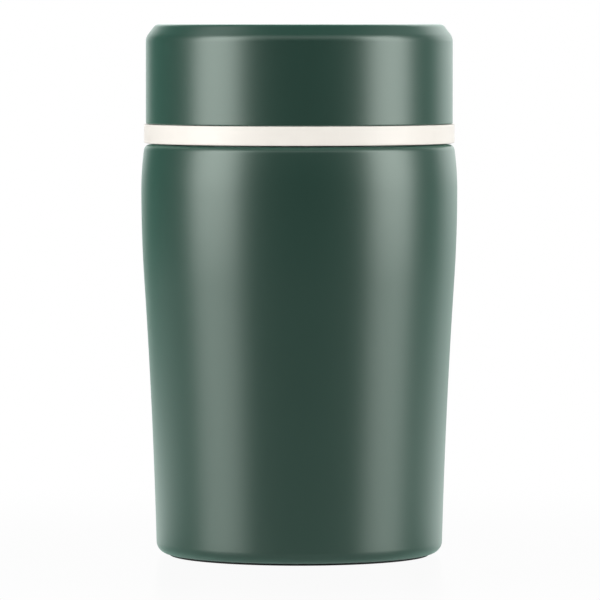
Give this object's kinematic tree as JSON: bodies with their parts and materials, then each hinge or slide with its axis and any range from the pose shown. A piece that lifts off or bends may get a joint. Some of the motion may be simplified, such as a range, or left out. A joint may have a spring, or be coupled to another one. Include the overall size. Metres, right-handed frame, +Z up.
{
  "type": "insulated food jar",
  "caption": "Double-walled vacuum food jar with a screw stopper, a push-button vent and a screw-on steel cup over it.",
  "frame": {"origin": "centre of the face that the jar stands on", "axes": "+Z up along the jar's axis, +Y away from the front"},
  "size_m": [0.095, 0.095, 0.1596],
  "materials": {
    "green_powder_coat": "fine matte powder coat",
    "brushed_steel": "turned satin steel",
    "base_steel": "plain drawn steel",
    "pin_steel": "bright drawn wire",
    "getter_metal": "sintered grey",
    "heat_foil": "bright foil",
    "seal_resin": "cured resin",
    "black_silicone": "matte silicone",
    "clear_silicone": "milky silicone",
    "white_plastic": "satin polypropylene",
    "button_plastic": "satin polypropylene, light grey",
    "liner_plastic": "satin polypropylene",
    "foam": "closed-cell foam"
  },
  "bodies": {
    "jar": {"outer_shell": "green_powder_coat", "inner_vessel": "brushed_steel", "base_plate": "base_steel", "seal_bead": "seal_resin", "base_pad": "black_silicone", "heat_foil": "heat_foil", "getter": "getter_metal", "getter_clip": "base_steel"},
    "mouth_seal": {"mouth_gasket": "clear_silicone"},
    "stopper": {"stopper_shell": "white_plastic", "stopper_plug": "white_plastic", "stopper_foam": "foam", "vent_spring": "pin_steel"},
    "vent": {"vent_button": "button_plastic", "vent_stem": "pin_steel", "vent_valve": "clear_silicone"},
    "cup_seal": {"cup_gasket": "clear_silicone"},
    "cup": {"cup_shell": "green_powder_coat", "cup_liner": "liner_plastic"}
  },
  "joints": [
    {"name": "stopper_rise", "type": "slide", "parent": "jar", "child": "mouth_seal", "axis": [0, 0, 1], "range_m": [0, 0.024]},
    {"name": "stopper_turn", "type": "hinge", "parent": "mouth_seal", "child": "stopper", "pos_m": [0, 0, 0.1236], "axis": [0, 0, 1], "range_deg": [0, 1080]},
    {"name": "vent_press", "type": "slide", "parent": "stopper", "child": "vent", "axis": [0, 0, -1], "range_m": [0, 0.002], "stiffness_N_per_m": 400, "springref_m": -0.003, "deforming": ["vent_spring"]},
    {"name": "cup_rise", "type": "slide", "parent": "stopper", "child": "cup_seal", "axis": [0, 0, 1], "range_m": [0, 0.024]},
    {"name": "cup_turn", "type": "hinge", "parent": "cup_seal", "child": "cup", "pos_m": [0, 0, 0.1298], "axis": [0, 0, 1], "range_deg": [0, 1080]}
  ],
  "couplings": [
    {"joint": "stopper_rise", "follows": "stopper_turn", "m_per_rad": 0.001273},
    {"joint": "cup_rise", "follows": "cup_turn", "m_per_rad": 0.001273}
  ]
}
